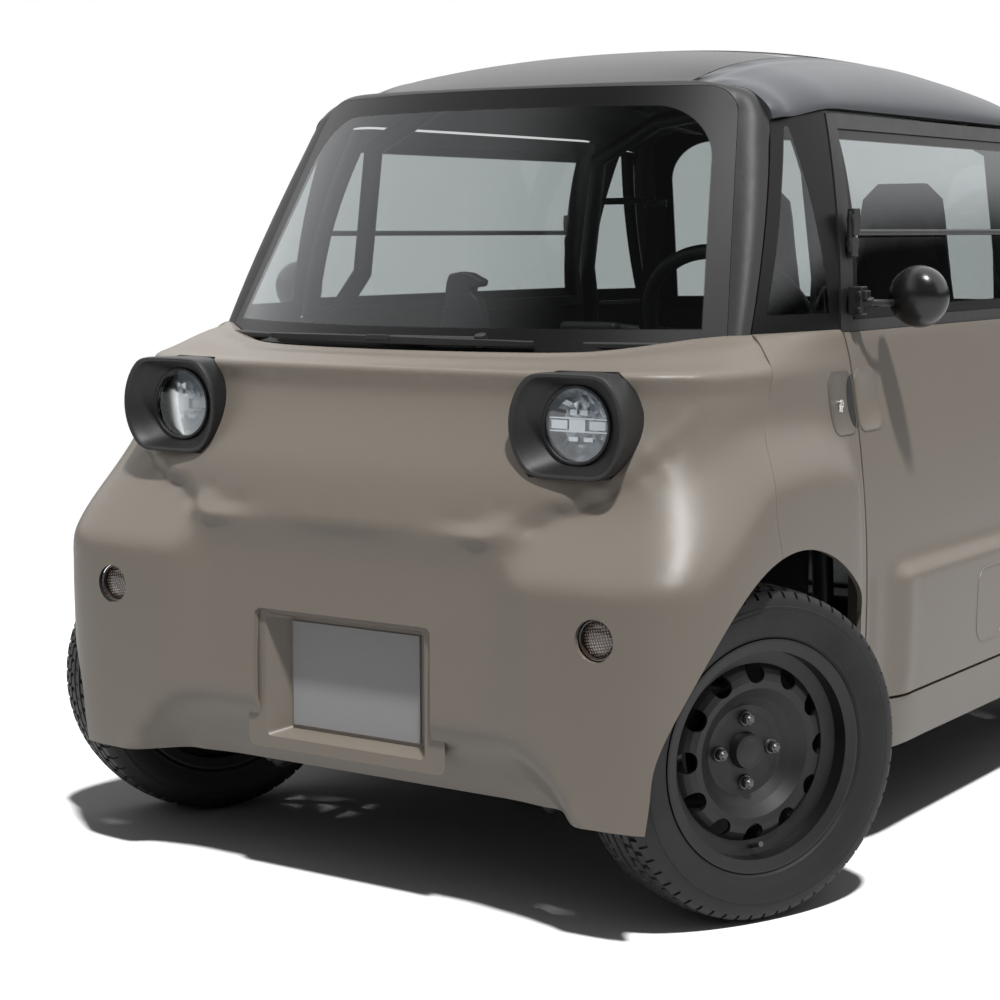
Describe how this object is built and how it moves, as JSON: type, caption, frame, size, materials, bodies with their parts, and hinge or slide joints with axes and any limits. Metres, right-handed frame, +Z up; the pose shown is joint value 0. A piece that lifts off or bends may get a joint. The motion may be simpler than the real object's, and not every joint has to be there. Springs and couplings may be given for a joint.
{
  "type": "microcar",
  "caption": "Two-seat electric microcar with a tube frame, moulded panels, glass roof, side-hinged doors and steerable front wheels",
  "frame": {"origin": "on the ground at the middle of the car, between its ends and its sides", "axes": "+Z up; the front looks along -Y; the car's left side is +X"},
  "size_m": [1.5582, 2.41, 1.4969],
  "materials": {
    "body_grey": "taupe-grey through-coloured moulded panel, satin",
    "window_glass": "tinted safety glass, dark border",
    "roof_grey": "slate-grey moulded roof side, satin",
    "trim_black": "black-grey moulded plastic, fine grain",
    "lamp_clear": "clear lamp lens with a faceted reflector",
    "lamp_amber": "smoked amber lens, ribbed",
    "plate_grey": "blank plate, satin",
    "tube_steel": "black painted steel tube and sheet",
    "arm_steel": "dark forged and cast running gear",
    "block_grey": "cast housing, plain",
    "rim_grey": "grey painted pressed steel",
    "tyre_black": "black tyre rubber",
    "wheel_black": "soft black rim covering",
    "seat_shell": "black moulded seat shell",
    "seat_fabric": "dark grey woven pad cover"
  },
  "bodies": {
    "chassis": {"battery_box": "block_grey", "dashboard": "trim_black", "floor_pan": "tube_steel", "frame": "tube_steel", "front_clip": "body_grey", "front_suspension": "arm_steel", "indicators": "lamp_amber", "lamp_bezels": "trim_black", "lamp_lenses": "lamp_clear", "motor_block": "block_grey", "number_plates": "plate_grey", "quarter_glass_left": "window_glass", "quarter_glass_right": "window_glass", "rear_clip": "body_grey", "rear_suspension": "arm_steel", "rear_window": "window_glass", "roof_glass": "window_glass", "roof_side_left": "roof_grey", "roof_side_right": "roof_grey", "screen_surround_front": "trim_black", "screen_surround_rear": "trim_black", "seat_left": "seat_shell", "seat_pads_left": "seat_fabric", "seat_pads_right": "seat_fabric", "seat_right": "seat_shell", "side_panel_front_left": "body_grey", "side_panel_front_right": "body_grey", "side_panel_rear_left": "body_grey", "side_panel_rear_right": "body_grey", "sill_left": "body_grey", "sill_right": "body_grey", "steering_column": "trim_black", "windshield": "window_glass", "wiper": "trim_black"},
    "door_left": {"door_glass_left": "window_glass", "door_left": "body_grey", "mirror_left": "trim_black", "window_bar_left": "trim_black", "window_frame_left": "trim_black"},
    "door_right": {"door_glass_right": "window_glass", "door_right": "body_grey", "mirror_right": "trim_black", "window_bar_right": "trim_black", "window_frame_right": "trim_black"},
    "steer_left": {"knuckle_left": "arm_steel"},
    "wheel_front_left": {"tyre_front_left": "tyre_black", "rim_front_left": "rim_grey"},
    "wheel_rear_left": {"tyre_rear_left": "tyre_black", "rim_rear_left": "rim_grey"},
    "steer_right": {"knuckle_right": "arm_steel"},
    "wheel_front_right": {"tyre_front_right": "tyre_black", "rim_front_right": "rim_grey"},
    "wheel_rear_right": {"tyre_rear_right": "tyre_black", "rim_rear_right": "rim_grey"},
    "steering_hand_wheel": {"steering_wheel": "wheel_black"}
  },
  "joints": [
    {"name": "door_left_swing", "type": "hinge", "parent": "chassis", "child": "door_left", "pos_m": [0.694, 0.538, 0.6], "axis": [0, 0, 1], "range_deg": [0, 75]},
    {"name": "door_right_swing", "type": "hinge", "parent": "chassis", "child": "door_right", "pos_m": [-0.694, -0.538, 0.6], "axis": [0, 0, 1], "range_deg": [0, 75]},
    {"name": "steer_left_turn", "type": "hinge", "parent": "chassis", "child": "steer_left", "pos_m": [0.56, -0.864, 0.2785], "axis": [0, 0, 1], "range_deg": [-10, 60]},
    {"name": "steer_right_turn", "type": "hinge", "parent": "chassis", "child": "steer_right", "pos_m": [-0.56, -0.864, 0.2785], "axis": [0, 0, 1], "range_deg": [-10, 60]},
    {"name": "hand_wheel_turn", "type": "hinge", "parent": "chassis", "child": "steering_hand_wheel", "pos_m": [0.325, -0.41, 0.945], "axis": [0, 0.8829, 0.4695], "range_deg": [-144, 864]},
    {"name": "wheel_front_left_spin", "type": "hinge", "parent": "steer_left", "child": "wheel_front_left", "pos_m": [0.60713, -0.88598, 0.2785], "axis": [0.9063, -0.4226, 0], "continuous": true},
    {"name": "wheel_rear_left_spin", "type": "hinge", "parent": "chassis", "child": "wheel_rear_left", "pos_m": [0.612, 0.864, 0.2785], "axis": [1, 0, 0], "continuous": true},
    {"name": "wheel_front_right_spin", "type": "hinge", "parent": "steer_right", "child": "wheel_front_right", "pos_m": [-0.60713, -0.84202, 0.2785], "axis": [0.9063, -0.4226, 0], "continuous": true},
    {"name": "wheel_rear_right_spin", "type": "hinge", "parent": "chassis", "child": "wheel_rear_right", "pos_m": [-0.612, 0.864, 0.2785], "axis": [1, 0, 0], "continuous": true}
  ],
  "couplings": [
    {"joint": "steer_right_turn", "follows": "steer_left_turn", "ratio": 1},
    {"joint": "hand_wheel_turn", "follows": "steer_left_turn", "ratio": 14.4}
  ]
}
